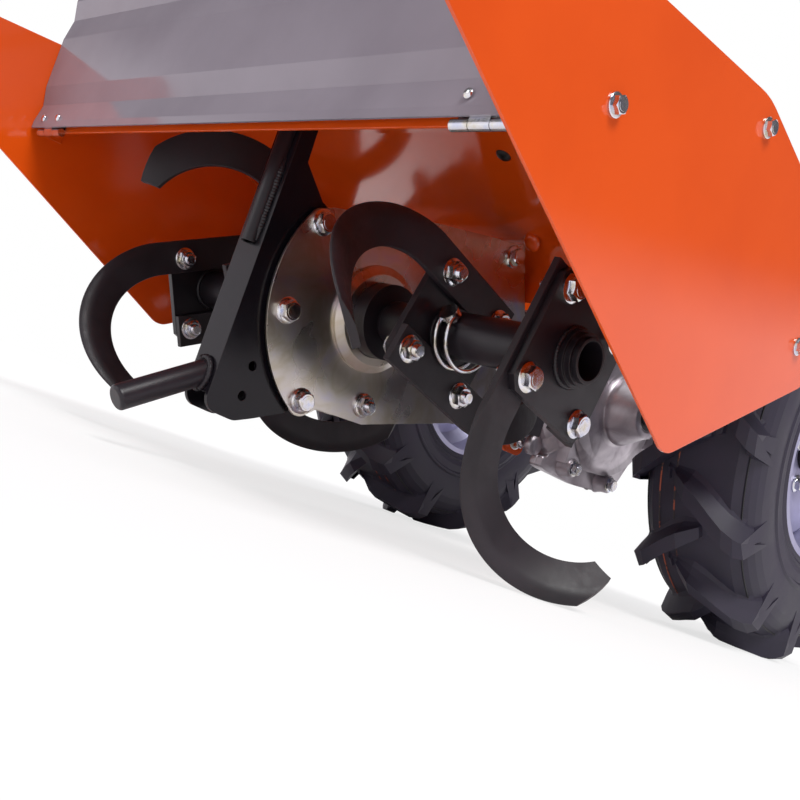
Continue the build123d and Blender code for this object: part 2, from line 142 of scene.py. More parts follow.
def newMaterial(name):
    made = bpy.data.materials.new(name)
    made.use_nodes = True
    made.node_tree.nodes.clear()
    return made, made.node_tree


def finishMaterial(tree, sockets):
    surface = addNode(tree, "ShaderNodeBsdfPrincipled", sockets)
    addNode(tree, "ShaderNodeOutputMaterial", {"Surface": surface.outputs[0]})


floorMaterial, tree = newMaterial("paintedStudioFloor")  # matt emulsion paint: even and pale
grain = addNode(tree, "ShaderNodeTexNoise", {"Scale": 1 / (40 * mm), "Detail": 3.0})
tone = addNode(tree, "ShaderNodeValToRGB", {"Fac": grain.outputs["Fac"]},
               stops=[(0.3, studio["floorDeep"]), (0.7, studio["floorColour"])])
paint = addNode(tree, "ShaderNodeBsdfPrincipled", {
    "Base Color": tone.outputs["Color"], "Roughness": 0.9, "Specular IOR Level": 0.1})
white = addNode(tree, "ShaderNodeEmission", {"Color": linear("#FFFFFF"), "Strength": 1.0})
path = addNode(tree, "ShaderNodeLightPath")
# to the camera the floor glows a little, so that it joins the white room and keeps the shadow
lift = addNode(tree, "ShaderNodeMath", {
    0: path.outputs["Is Camera Ray"], 1: studio["floorGlow"]}, operation="MULTIPLY")
pale = addNode(tree, "ShaderNodeMixShader", {0: lift.outputs[0], 1: paint.outputs[0], 2: white.outputs[0]})
addNode(tree, "ShaderNodeOutputMaterial", {"Surface": pale.outputs[0]})
floorMesh = bpy.data.meshes.new("studioFloor")
reach = studio["floorHalf"]
floorCorners = [(-reach, -reach, 0), (reach, -reach, 0), (reach, reach, 0), (-reach, reach, 0)]
floorMesh.from_pydata(floorCorners, [], [(0, 1, 2, 3)])
studioFloor = bpy.data.objects.new("studioFloor", floorMesh)
floorMesh.materials.append(floorMaterial)
scene.collection.objects.link(studioFloor)
studioFloor.location.z = -studio["floorDrop"] * mm
print("camera, lamps and floor ready")

# materials
finishes = {
    "orangePowderCoat": {"colour": "#DA5010", "deep": "#D34B0D", "peel": 2.2, "roughness": 0.11},
    "greyPowderCoat": {"colour": "#867F88", "deep": "#7D767F", "peel": 2.0, "roughness": 0.12},
    "blackPowderCoat": {"colour": "#211C22", "deep": "#120F13", "peel": 1.1, "roughness": 0.34},
    "forgedBlack": {"colour": "#2B252B", "deep": "#171317", "peel": 1.4, "roughness": 0.46},
    "blackEnamel": {"colour": "#17141A", "deep": "#110F13", "peel": 1.6, "roughness": 0.2},
    "silverRimPaint": {"colour": "#A3A2BC", "deep": "#918FAC", "peel": 1.5, "roughness": 0.34},
}


def powderCoat(name, metallic=0.0, edgeHighlightTone=None, coat=0.0, gloss=0.5):
    # sprayed powder melted on steel: an even colour with a fine orange peel, and a patchy painted highlight on
    # the rounded edges
    look = finishes[name]
    made, tree = newMaterial(name)
    place = addNode(tree, "ShaderNodeTexCoord").outputs["Object"]
    cloud = addNode(tree, "ShaderNodeTexNoise", {"Vector": place, "Scale": 1 / (90 * mm), "Detail": 4.0})
    tone = addNode(tree, "ShaderNodeValToRGB", {"Fac": cloud.outputs["Fac"]},
                   stops=[(0.35, look["deep"]), (0.65, look["colour"])]).outputs["Color"]
    peel = addNode(tree, "ShaderNodeTexNoise", {
        "Vector": place, "Scale": 1 / (look["peel"] * mm), "Detail": 2.0})
    dust = addNode(tree, "ShaderNodeTexNoise", {
        "Vector": place, "Scale": 1 / (14 * mm), "Detail": 8.0, "Roughness": 0.7})
    rough = addNode(tree, "ShaderNodeMapRange", {
        "Value": dust.outputs["Fac"], "From Min": 0.3, "From Max": 0.75,
        "To Min": look["roughness"] * 0.85, "To Max": look["roughness"] * 1.3})
    rounded = addNode(tree, "ShaderNodeBevel", {"Radius": 0.7 * mm}, samples=4)
    # painted highlight: a lighter tone mixed in where the bevelled normal turns from the face, broken up by the
    # dust noise
    if edgeHighlightTone:
        flat = addNode(tree, "ShaderNodeNewGeometry")
        turn = addNode(tree, "ShaderNodeVectorMath", {0: flat.outputs["Normal"], 1: rounded.outputs[0]},
                       operation="DOT_PRODUCT")
        edge = addNode(tree, "ShaderNodeMapRange", {
            "Value": turn.outputs["Value"], "From Min": 0.97, "From Max": 0.8, "To Min": 0.0, "To Max": 1.0})
        patchyHighlight = addNode(tree, "ShaderNodeMath", {0: edge.outputs[0], 1: dust.outputs["Fac"]},
                         operation="MULTIPLY")
        tone = addNode(tree, "ShaderNodeMix", {"Factor": patchyHighlight.outputs[0], "A": tone, "B": linear(edgeHighlightTone)},
                       data_type="RGBA").outputs[2]
    relief = addNode(tree, "ShaderNodeBump", {
        "Height": peel.outputs["Fac"], "Strength": 0.12, "Distance": 0.12 * mm, "Normal": rounded.outputs[0]})
    finishMaterial(tree, {"Base Color": tone, "Metallic": metallic, "Roughness": rough.outputs[0],
                          "Coat Weight": coat, "Coat Roughness": 0.08, "Specular IOR Level": gloss,
                          "Normal": relief.outputs[0]})
    return made


def zincSheet():
    # yellow-passivated zinc on pressed sheet: grey with drifting straw and violet tints and faint rolling marks
    made, tree = newMaterial("passivatedZincSheet")
    place = addNode(tree, "ShaderNodeTexCoord").outputs["Object"]
    drift = addNode(tree, "ShaderNodeTexNoise", {
        "Vector": place, "Scale": 1 / (38 * mm), "Detail": 3.0, "Distortion": 1.2})
    tint = addNode(tree, "ShaderNodeValToRGB", {"Fac": drift.outputs["Fac"]}, stops=[
        (0.28, "#C9C4CE"), (0.45, "#CEC8C0"), (0.58, "#C3BBAA"), (0.68, "#CCC4B8"), (0.8, "#C4BCC6")])
    along = addNode(tree, "ShaderNodeMapping", {
        "Vector": place, "Scale": (1 / (2 * mm), 1 / (60 * mm), 1 / (1.2 * mm))})
    streak = addNode(tree, "ShaderNodeTexNoise", {"Vector": along.outputs[0], "Scale": 1.0, "Detail": 3.0})
    smear = addNode(tree, "ShaderNodeTexNoise", {
        "Vector": place, "Scale": 1 / (45 * mm), "Detail": 2.0, "Distortion": 0.3})
    rounded = addNode(tree, "ShaderNodeBevel", {"Radius": 0.6 * mm}, samples=4)
    rough = addNode(tree, "ShaderNodeMapRange", {
        "Value": smear.outputs["Fac"], "From Min": 0.3, "From Max": 0.7, "To Min": 0.24, "To Max": 0.34})
    relief = addNode(tree, "ShaderNodeBump", {
        "Height": streak.outputs["Fac"], "Strength": 0.03, "Distance": 0.1 * mm, "Normal": rounded.outputs[0]})
    finishMaterial(tree, {"Base Color": tint.outputs["Color"], "Metallic": 1.0, "Roughness": rough.outputs[0],
                          "Normal": relief.outputs[0]})
    return made


def zincFastener():
    # clear-passivated zinc on forged bolts: bright, with a blue cast and a little yellow
    made, tree = newMaterial("clearZincBolt")
    place = addNode(tree, "ShaderNodeTexCoord").outputs["Object"]
    drift = addNode(tree, "ShaderNodeTexNoise", {"Vector": place, "Scale": 1 / (7 * mm), "Detail": 3.0})
    tint = addNode(tree, "ShaderNodeValToRGB", {"Fac": drift.outputs["Fac"]},
                   stops=[(0.3, "#C9CEE0"), (0.5, "#DADADC"), (0.7, "#CFC9B4")])
    pits = addNode(tree, "ShaderNodeTexNoise", {"Vector": place, "Scale": 1 / (1.4 * mm), "Detail": 4.0})
    rough = addNode(tree, "ShaderNodeMapRange", {
        "Value": pits.outputs["Fac"], "From Min": 0.3, "From Max": 0.7, "To Min": 0.12, "To Max": 0.26})
    relief = addNode(tree, "ShaderNodeBump", {
        "Height": pits.outputs["Fac"], "Strength": 0.15, "Distance": 0.1 * mm})
    finishMaterial(tree, {"Base Color": tint.outputs["Color"], "Metallic": 1.0, "Roughness": rough.outputs[0],
                          "Normal": relief.outputs[0]})
    return made


def castAluminium():
    # die-cast aluminium: dull grey metal with a fine skin grain and darker flow marks
    made, tree = newMaterial("dieCastAluminium")
    place = addNode(tree, "ShaderNodeTexCoord").outputs["Object"]
    flow = addNode(tree, "ShaderNodeTexNoise", {
        "Vector": place, "Scale": 1 / (30 * mm), "Detail": 6.0, "Distortion": 1.0})
    tint = addNode(tree, "ShaderNodeValToRGB", {"Fac": flow.outputs["Fac"]},
                   stops=[(0.3, "#9A9298"), (0.5, "#B4ADB3"), (0.74, "#C4BDC2")])
    skin = addNode(tree, "ShaderNodeTexNoise", {"Vector": place, "Scale": 1 / (0.9 * mm), "Detail": 3.0})
    rounded = addNode(tree, "ShaderNodeBevel", {"Radius": 1.6 * mm}, samples=4)
    rough = addNode(tree, "ShaderNodeMapRange", {
        "Value": flow.outputs["Fac"], "From Min": 0.3, "From Max": 0.7, "To Min": 0.44, "To Max": 0.3})
    relief = addNode(tree, "ShaderNodeBump", {
        "Height": skin.outputs["Fac"], "Strength": 0.3, "Distance": 0.15 * mm, "Normal": rounded.outputs[0]})
    finishMaterial(tree, {"Base Color": tint.outputs["Color"], "Metallic": 0.85, "Roughness": rough.outputs[0],
                          "Normal": relief.outputs[0]})
    return made


def groundSteel():
    # turned and ground steel shafts: fine rings round X
    made, tree = newMaterial("groundSteel")
    place = addNode(tree, "ShaderNodeTexCoord").outputs["Object"]
    along = addNode(tree, "ShaderNodeMapping", {
        "Vector": place, "Scale": (1 / (0.6 * mm), 1 / (50 * mm), 1 / (50 * mm))})
    rings = addNode(tree, "ShaderNodeTexNoise", {"Vector": along.outputs[0], "Scale": 1.0, "Detail": 2.0})
    tint = addNode(tree, "ShaderNodeValToRGB", {"Fac": rings.outputs["Fac"]},
                   stops=[(0.3, "#8F8F91"), (0.7, "#B2B2B3")])
    relief = addNode(tree, "ShaderNodeBump", {
        "Height": rings.outputs["Fac"], "Strength": 0.1, "Distance": 0.1 * mm})
    finishMaterial(tree, {"Base Color": tint.outputs["Color"], "Metallic": 1.0, "Roughness": 0.3,
                          "Normal": relief.outputs[0]})
    return made


def tyreRubber(name, colour, deep, roughness):
    # carbon-black rubber: matt, a little blue, greyer where it has been handled
    made, tree = newMaterial(name)
    place = addNode(tree, "ShaderNodeTexCoord").outputs["Object"]
    bloom = addNode(tree, "ShaderNodeTexNoise", {
        "Vector": place, "Scale": 1 / (45 * mm), "Detail": 6.0, "Roughness": 0.65})
    tint = addNode(tree, "ShaderNodeValToRGB", {"Fac": bloom.outputs["Fac"]}, stops=[(0.3, deep), (0.7, colour)])
    skin = addNode(tree, "ShaderNodeTexNoise", {"Vector": place, "Scale": 1 / (1.6 * mm), "Detail": 4.0})
    rough = addNode(tree, "ShaderNodeMapRange", {
        "Value": bloom.outputs["Fac"], "From Min": 0.3, "From Max": 0.7,
        "To Min": roughness - 0.08, "To Max": roughness + 0.1})
    relief = addNode(tree, "ShaderNodeBump", {
        "Height": skin.outputs["Fac"], "Strength": 0.2, "Distance": 0.12 * mm})
    finishMaterial(tree, {"Base Color": tint.outputs["Color"], "Roughness": rough.outputs[0],
                          "Specular IOR Level": 0.36, "Normal": relief.outputs[0]})
    return made


def tyreInk():
    # marking lines sprayed on raw rubber at the works: thin, broken orange
    made, tree = newMaterial("tyreMarkingInk")
    place = addNode(tree, "ShaderNodeTexCoord").outputs["Object"]
    broken = addNode(tree, "ShaderNodeTexNoise", {"Vector": place, "Scale": 1 / (11 * mm), "Detail": 5.0})
    tint = addNode(tree, "ShaderNodeValToRGB", {"Fac": broken.outputs["Fac"]},
                   stops=[(0.44, "#2A2324"), (0.52, "#9A4A30")])
    finishMaterial(tree, {"Base Color": tint.outputs["Color"], "Roughness": 0.6})
    return made


# the edge tones below are painted highlights along the rounded edges
orange = powderCoat("orangePowderCoat", edgeHighlightTone="#F08050", coat=0.25)
greyPaint = powderCoat("greyPowderCoat", coat=0.1)
black = powderCoat("blackPowderCoat", edgeHighlightTone="#57504E", gloss=0.42)
tineBlack = powderCoat("forgedBlack", edgeHighlightTone="#57504E", gloss=0.42)
enamel = powderCoat("blackEnamel", edgeHighlightTone="#57504E", gloss=0.3)
rimPaint = powderCoat("silverRimPaint", metallic=0.45)
zinc = zincSheet()
boltZinc = zincFastener()
aluminium = castAluminium()
steel = groundSteel()
rubber = tyreRubber("tyreRubber", "#302B3B", "#22202C", 0.5)
sealRubber = tyreRubber("nitrileSealRubber", "#1B1B1C", "#121213", 0.4)
ink = tyreInk()

finishNodes = [  # finish and the nodes that have it; the others are black
    (orange, "hood_sheet hood_flange_right hood_flange_left side_plate_right side_plate_left"),
    (orange, "frame_plate_right frame_plate_left"),
    (greyPaint, "flap_panel"),
    (rimPaint, "wheel_rim_right wheel_rim_left"),
    (zinc, "case_shield_right case_shield_left"),
    (boltZinc, "hinge_leaves flap_leaves shield_spacers lock_pin_right lock_pin_left"),
    (enamel, "stake_bracket"),
    (aluminium, "gearbox_half_right gearbox_half_left engine_flange"),
    (steel, "axle_shaft_right axle_shaft_left input_shaft"),
    (sealRubber, "axle_seal_right axle_seal_left"),
    (rubber, "tyre_right tyre_left"),
]
finishOf = {name: finish for finish, names in finishNodes for name in names.split()}
for name, node in frame["nodes"].items():
    node.data.materials.clear()
    node.data.materials.append(finishOf.get(name, black))
print("materials ready:", len(bpy.data.materials))


# mesh helpers
def addPiece(name, build, material, body, replaced=(), bevel=0.0, sharp=35):
    mesh = bpy.data.meshes.new(name)
    bmesh.ops.recalc_face_normals(build, faces=build.faces)
    build.to_mesh(mesh)
    build.free()
    mesh.materials.append(material)
    mesh.shade_smooth()
    mesh.set_sharp_from_angle(angle=math.radians(sharp))
    piece = bpy.data.objects.new(name, mesh)
    scene.collection.objects.link(piece)
    if bevel:
        edge = piece.modifiers.new("edge", "BEVEL")
        edge.width, edge.segments, edge.harden_normals = bevel, 2, True
        edge.limit_method, edge.angle_limit = "ANGLE", math.radians(sharp)
    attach(piece, body)
    if replaced:
        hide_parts(*replaced)
    return piece


def circle(radius, steps, x=0.0):
    # points round the X axis
    turns = (2 * math.pi * i / steps for i in range(steps))
    return [Vector((x, radius * math.cos(a), radius * math.sin(a))) for a in turns]


def addRing(build, points):
    return [build.verts.new(point) for point in points]


def joinRings(build, rings):
    for low, high in zip(rings, rings[1:]):
        count = len(low)
        for i in range(count):
            j = (i + 1) % count
            build.faces.new((low[i], low[j], high[j], high[i]))


def lathe(build, profile, steps=64, place=Matrix.Identity(4), loop=False):
    # turns (x, radius) points about X; a zero radius closes the end
    rings = []
    for x, radius in profile:
        if radius <= 0:
            rings.append([build.verts.new(place @ Vector((x, 0, 0)))])
        else:
            rings.append(addRing(build, [place @ point for point in circle(radius, steps, x)]))
    pairs = list(zip(rings, rings[1:])) + ([(rings[-1], rings[0])] if loop else [])
    for low, high in pairs:
        for i in range(steps):
            j = (i + 1) % steps
            if len(low) == 1:
                build.faces.new((low[0], high[j], high[i]))
            elif len(high) == 1:
                build.faces.new((low[i], low[j], high[0]))
            else:
                build.faces.new((low[i], low[j], high[j], high[i]))


def hexagon(build, flats, low, high, place, bore=0.0):
    # a forged hexagon from x = low to high, its outer corners taken off by a 30 degree cone
    steps, inner, cone = 48, flats / 2, math.radians(30)
    step, flatTop = 360 / steps, inner * 0.93
    across = [inner / math.cos(math.radians((step * i + 30) % 60 - 30)) for i in range(steps)]
    rings = []
    for x, radii in ((low, across), (None, across), (high, [flatTop] * steps)):
        ring = []
        for i, radius in enumerate(radii):
            a = math.radians(step * i)
            h = x if x is not None else high - (radius - flatTop) * math.tan(cone)
            ring.append(build.verts.new(place @ Vector((h, radius * math.cos(a), radius * math.sin(a)))))
        rings.append(ring)
    joinRings(build, rings)
    if bore:
        hole = [addRing(build, [place @ point for point in circle(bore, steps, x)])
                for x in (high, high - bore * 0.25)]
        joinRings(build, [rings[-1], *hole])
    else:
        centre = build.verts.new(place @ Vector((high, 0, 0)))
        for i in range(steps):
            build.faces.new((rings[-1][i], rings[-1][(i + 1) % steps], centre))


def outward(point, side, turn=0.0):
    # local +X runs out along the machine's +X or -X
    facing = Matrix.Rotation(math.radians(turn), 4, "X")
    flip = Matrix.Identity(4) if side > 0 else Matrix.Rotation(math.pi, 4, "Z")
    return Matrix.Translation(point) @ flip @ facing


boltSizes = {  # millimetres
    "m10": {"flats": 15.0, "head": 8.6, "flange": 10.8, "flangeRim": 1.4,
            "thread": 5.0, "pitch": 1.5, "tail": 7.0},
    "m8": {"flats": 12.0, "head": 7.2, "flange": 8.9, "flangeRim": 1.2,
           "thread": 4.0, "pitch": 1.25, "tail": 5.0},
    "m6": {"flats": 9.6, "head": 5.4, "flange": 6.8, "flangeRim": 1.0,
           "thread": 3.0, "pitch": 1.0, "tail": 3.5},
}


def flangeFoot(build, size, place):
    # the round flange under a head or nut; gives the bolt's sizes in metres and the flange's height
    b = {key: value * mm for key, value in boltSizes[size].items()}
    rise = b["head"] * 0.3
    rim = b["flangeRim"] + 0.3 * mm
    lathe(build, [(0, 0), (0, b["flange"]), (b["flangeRim"], b["flange"]), (rim, b["flange"] - 0.4 * mm),
                  (rise, b["flats"] * 0.52), (rise, 0)], 48, place)
    return b, rise


def flangeHead(build, size, place):
    b, rise = flangeFoot(build, size, place)
    hexagon(build, b["flats"], rise * 0.9, b["head"], place)
    dish, top = b["flats"] * 0.36, b["head"] + 0.25 * mm
    lathe(build, [(b["head"] + 0.05 * mm, dish), (top, dish * 0.97), (top, 0)], 32, place)


def flangeNut(build, size, place):
    b, rise = flangeFoot(build, size, place)
    hexagon(build, b["flats"], rise * 0.9, b["head"], place, b["thread"] * 1.08)
    # the bolt's thread stands out of the nut
    profile, x = [(b["head"] - 2 * mm, 0), (b["head"] - 2 * mm, b["thread"] * 0.9)], b["head"] - 1.5 * mm
    end = b["head"] + b["tail"] * 0.55
    while x < end:
        profile += [(x, b["thread"] * 0.86), (x + b["pitch"] / 2, b["thread"])]
        x += b["pitch"]
    profile += [(end + 0.4 * mm, b["thread"] * 0.8), (end + 0.4 * mm, 0)]
    lathe(build, profile, 32, place)


def rotorPoint(x, y, z):
    # millimetres from the middle of the rotor
    return rotorAxis + Vector((x, y, z)) * mm


def axlePoint(x, y, z):
    # millimetres from the middle of the axle
    return axleAxis + Vector((x, y, z)) * mm


# tine blades, wrapped smoothly along their bend
blade = {
    "arcAt": (-52.6, 61.8), "arcRadius": 89.8, "width": 31.3, "thick": 6.0, "back": 110.0,
    "tipOut": 105.0, "tipPoint": 122.5, "tipIn": 118.0, "bendWay": 147.5, "bendAt": 29.4, "bendRadius": 126.6,
    "edge": 0.4, "groundFrom": 0.55, "groundThick": 1.8, "groundRun": 6, "arcSteps": 72, "shankSteps": 10,
    "acrossSteps": 8, "sharp": 28,
}
tinePlates = {"inner": 110.0, "outer": 233.0, "thick": 6.0}
tines = [  # name, side, plate, direction of the plate's side, way the blade bends
    ("right_inner_a", 1, "inner", 76.5, 1), ("right_inner_b", 1, "inner", 256.5, -1),
    ("right_outer_a", 1, "outer", 168.8, 1), ("right_outer_b", 1, "outer", 348.8, -1),
    ("left_inner_a", -1, "inner", 36.0, -1), ("left_inner_b", -1, "inner", 216.0, 1),
    ("left_outer_a", -1, "outer", 118.0, 1), ("left_outer_b", -1, "outer", 298.0, -1),
]


def tipAngle(k):
    if k < 0:
        return blade["tipPoint"] + (blade["tipIn"] - blade["tipPoint"]) * -k
    return blade["tipPoint"] + (blade["tipOut"] - blade["tipPoint"]) * k


def bladePoint(k, t, lift):
    # k runs over the width, t along the blade (below 0 on the straight shank), lift through the plate
    radius = blade["arcRadius"] + k * blade["width"] / 2
    if t < 0:
        u, v = blade["arcAt"][0] + radius, blade["arcAt"][1] + t * blade["back"]
    else:
        a = math.radians(tipAngle(k) * t)
        u, v = blade["arcAt"][0] + radius * math.cos(a), blade["arcAt"][1] + radius * math.sin(a)
    way = math.radians(blade["bendWay"])
    run, rule = u * math.cos(way) + v * math.sin(way), v * math.cos(way) - u * math.sin(way)
    past = run - blade["bendAt"]
    if past > 0:
        a, reach = past / blade["bendRadius"], blade["bendRadius"] - lift
        run, lift = blade["bendAt"] + reach * math.sin(a), blade["bendRadius"] - reach * math.cos(a)
    return run * math.cos(way) - rule * math.sin(way), run * math.sin(way) + rule * math.cos(way), lift


def tineBlade(x, facing, way):
    build = bmesh.new()
    turn = math.radians(facing)
    half, edge = blade["thick"] / 2, blade["edge"]
    flat, arc, shank = blade["acrossSteps"], blade["arcSteps"], blade["shankSteps"]
    trim, ground = 2 * edge / blade["width"], blade["groundFrom"]
    across = [-1 + trim + (2 - 2 * trim) * i / flat for i in range(flat + 1)]
    loop = [(k, 1.0, 0) for k in across] + [(1, 1.0, edge), (1, -1.0, edge)]
    loop += [(k, -1.0, 0) for k in reversed(across)] + [(-1, -1.0, edge), (-1, 1.0, edge)]
    stations = [-1 + i / shank for i in range(shank)] + [i / arc for i in range(arc + 1)]
    rings = []
    for t in stations:
        ring = []
        for k, side, inset in loop:
            lift = side * (half - inset)
            if side > 0 and t > 0:
                # the hollow face is ground away towards the cutting edge, from the end of the shank on
                depth = (2 * half - blade["groundThick"]) * max(0, k - ground) / (1 - ground)
                lift -= depth * min(1, t * blade["groundRun"])
            u, v, lift = bladePoint(k, t, lift)
            y, z = u * math.cos(turn) - v * math.sin(turn), u * math.sin(turn) + v * math.cos(turn)
            ring.append(build.verts.new(rotorPoint(x + way * lift, y, z)))
        rings.append(ring)
    joinRings(build, rings)
    far = 2 * flat + 3      # the last corner of the loop's other face
    for ring in (rings[0], rings[-1]):
        for i in range(flat):
            build.faces.new((ring[i], ring[i + 1], ring[far - 1 - i], ring[far - i]))
        build.faces.new(ring[flat:flat + 4])
        build.faces.new((ring[0], ring[far], ring[far + 1], ring[far + 2]))
    return build


for name, side, plate, facing, way in tines:
    gap = (tinePlates["thick"] + blade["thick"]) / 2
    x = side * (tinePlates[plate] + (gap if plate == "inner" else -gap))
    addPiece("blade_" + name, tineBlade(x, facing, way), tineBlack, "rotor", ["tine_" + name],
             sharp=blade["sharp"])
print("tine blades ready")

# bolts on the tine plates
tineBolts = {"radius": 50.0, "size": "m10", "sharp": 22}
plateFacing = {(1, "inner"): 76.5, (1, "outer"): 168.8, (-1, "inner"): 36.0, (-1, "outer"): 118.0}
random.seed(7)
for (side, plate), facing in plateFacing.items():
    build = bmesh.new()
    bladeSide = 1 if plate == "inner" else -1       # the blade lies outboard of an inner plate
    bare = tinePlates[plate] - bladeSide * tinePlates["thick"] / 2
    clad = tinePlates[plate] + bladeSide * (tinePlates["thick"] / 2 + blade["thick"])
    for i in range(4):
        a = math.radians(facing + 45 + 90 * i)
        y, z = tineBolts["radius"] * math.cos(a), tineBolts["radius"] * math.sin(a)
        bareEnd = rotorPoint(side * bare, y, z), -bladeSide * side
        cladEnd = rotorPoint(side * clad, y, z), bladeSide * side
        nutEnd, headEnd = (cladEnd, bareEnd) if side > 0 or plate == "outer" else (bareEnd, cladEnd)
        flangeNut(build, tineBolts["size"], outward(*nutEnd, random.uniform(0, 60)))
        flangeHead(build, tineBolts["size"], outward(*headEnd, random.uniform(0, 60)))
    word = "right" if side > 0 else "left"
    addPiece("tine_bolts_%s_%s" % (word, plate), build, boltZinc, "rotor",
             sharp=tineBolts["sharp"])

# bolts on the case shields and the side plates
shieldBolts = {"size": "m10", "face": 22.5, "spots": [(-86, 51), (-90, -25), (-46, -88), (20, -72), (141, 117)],
               "oddSpot": 3, "turn": 17, "sharp": 22}
plateBolts = {"size": "m6", "face": 325.0, "grip": 4.3, "spots": [(-157, 104), (-4, 171), (137, 70)],
              "headTurn": 11, "nutTurn": 23, "sharp": 22}
for side in (1, -1):
    word = "right" if side > 0 else "left"
    build = bmesh.new()
    for i, (y, z) in enumerate(shieldBolts["spots"]):
        # heads on the right, nuts on the left; one bolt goes in the other way
        isNut = (i == shieldBolts["oddSpot"]) == (side > 0)
        place = outward(rotorPoint(side * shieldBolts["face"], y, z), side, shieldBolts["turn"] * i)
        (flangeNut if isNut else flangeHead)(build, shieldBolts["size"], place)
    addPiece("shield_bolts_" + word, build, boltZinc, "chassis", sharp=shieldBolts["sharp"])
    build = bmesh.new()
    for i, (y, z) in enumerate(plateBolts["spots"]):
        face, back = plateBolts["face"], plateBolts["face"] - plateBolts["grip"]
        headPlace = outward(rotorPoint(side * face, y, z), side, plateBolts["headTurn"] * i)
        nutPlace = outward(rotorPoint(side * back, y, z), -side, plateBolts["nutTurn"] * i)
        flangeHead(build, plateBolts["size"], headPlace)
        flangeNut(build, plateBolts["size"], nutPlace)
    addPiece("side_plate_bolts_" + word, build, boltZinc, "chassis", sharp=plateBolts["sharp"])
print("bolts ready")

# tyres: a ribbed casing with swept lugs
tyre = {
    "middle": 232.5, "overLugs": 206.0, "lugs": 13, "phases": (0.19, 0.675), "steps": 130, "sharp": 9,
    "casing": [  # x and radius, from the bead out
        (43.8, 101), (47.0, 103.2), (48.8, 106), (48.0, 108.5), (49.6, 111), (48.8, 113.5), (50.8, 119),
        (51.6, 127.4), (53.4, 129), (53.8, 131.6), (52.6, 134), (54.0, 142), (54.8, 152), (54.4, 162),
        (52.6, 170), (49.5, 177), (45, 182.5), (38.5, 186.8), (28, 188.2), (0, 188.4)],
    "bead": (40.0, 101.0),
    # stations of a lug: x, top radius on the steep and the sloping side, base radius, sweep, half top,
    # steep and sloping flare
    "stations": [
        (-23, 188.9, 188.9, 187.2, 12.5, 4.8, 0.6, 3), (-22, 191.6, 191.6, 187.2, 12, 5, 0.8, 4),
        (-19.5, 192.2, 192.2, 187.2, 11, 5.2, 1, 4), (-18.6, 189.6, 189.6, 187.2, 10.6, 5.4, 1, 5),
        (-14.4, 190, 190, 187.2, 8.6, 5.9, 1, 6), (-13.6, 194.0, 194.0, 187.2, 8.2, 6, 1.2, 7),
        (3.2, 206, 206, 187.4, 0, 8.0, 2.4, 12), (16, 206, 206, 187.4, -9.5, 8.2, 2.5, 15),
        (29, 205.8, 206, 187, -21.5, 8.6, 2.6, 16), (41, 203.4, 204.6, 183.5, -32.5, 9.2, 3, 15),
        (50, 196.5, 200.6, 175, -40.5, 9.8, 3, 11), (55.7, 187.5, 195, 166, -46, 10, 1.6, 4)],
    "lugFoot": 50.0, "slopeHigh": (0.55, 0.2), "slopeLow": (0.2, 0.52),  # shares of a lug's rise and flare
    "web": [  # radius, sweep and x of the lug's forked foot on the sidewall
        (195, -36, 55.7), (151, -33.4, 54.9), (157, -54, 55.5), (171.6, -49, 55.8), (148, -65.5, 55.3),
        (145.4, -70.5, 54.6), (187, -56, 55.7)],
    "webFoot": 48.0, "webFaces": ((0, 1, 2, 3), (0, 3, 6), (6, 3, 4, 5)),
    "flash": {"x": 46.6, "radius": 181.4, "width": 0.5, "height": 0.8},
    "inkLines": {"spots": (-15.0, -30.0), "radius": 188.5, "width": 0.8, "height": 0.4},
}


def lugPoint(phase, x, radius, sweep):
    # lugs are straight-sided, so their ends would rise above the diameter over lugs
    y, z = sweep * radius / tyre["overLugs"], radius
    shrink = min(1, tyre["overLugs"] / math.hypot(y, z))
    a = math.radians(phase)
    across, up = y * math.cos(a) - z * math.sin(a), y * math.sin(a) + z * math.cos(a)
    return Vector((x, across * shrink, up * shrink))


def tyreMesh(side):
    build = bmesh.new()
    middle = axlePoint(side * tyre["middle"], 0, 0)
    half, (beadX, beadRadius) = tyre["casing"], tyre["bead"]
    profile = [(-x, r) for x, r in half] + list(reversed(half[:-1]))
    profile += [(beadX, beadRadius), (-beadX, beadRadius)]
    lathe(build, [(x * mm, r * mm) for x, r in profile], tyre["steps"], Matrix.Translation(middle), loop=True)
    for way, offset in zip((1, -1), tyre["phases"]):
        for i in range(tyre["lugs"]):
            phase = (i + offset) * 360 / tyre["lugs"]

            def spot(x, r, s):
                return build.verts.new(middle + lugPoint(phase, side * way * x, r, s) * mm)

            rings = []
            for x, steepR, slopeR, baseR, sweep, top, steep, slope in tyre["stations"]:
                low, rise, near, far = min(x, tyre["lugFoot"]), slopeR - baseR, sweep - top, sweep + top
                (highRise, highFlare), (lowRise, lowFlare) = tyre["slopeHigh"], tyre["slopeLow"]
                rings.append([
                    spot(low, baseR, near - steep), spot(x, steepR, near), spot(x, slopeR, far),
                    spot(x, baseR + highRise * rise, far + highFlare * slope),
                    spot(x - 1, baseR + lowRise * rise, far + lowFlare * slope),
                    spot(low, baseR - 1, far + slope)])
            joinRings(build, rings)
            for ring in (rings[0], rings[-1]):
                build.faces.new(ring)
            high = [spot(x, r, s) for r, s, x in tyre["web"]]
            deep = [spot(tyre["webFoot"], r, s) for r, s, x in tyre["web"]]
            joinRings(build, [deep, high])
            for corners in tyre["webFaces"]:
                build.faces.new([high[c] for c in corners])
    return build


def thinRing(build, x, look, middle):
    # a fine raised line round the tyre
    turns = (2 * math.pi * i / 6 for i in range(6))
    around = [(x + look["width"] * math.cos(a), look["radius"] + look["height"] * math.sin(a)) for a in turns]
    lathe(build, [(p * mm, r * mm) for p, r in around], tyre["steps"], Matrix.Translation(middle), loop=True)


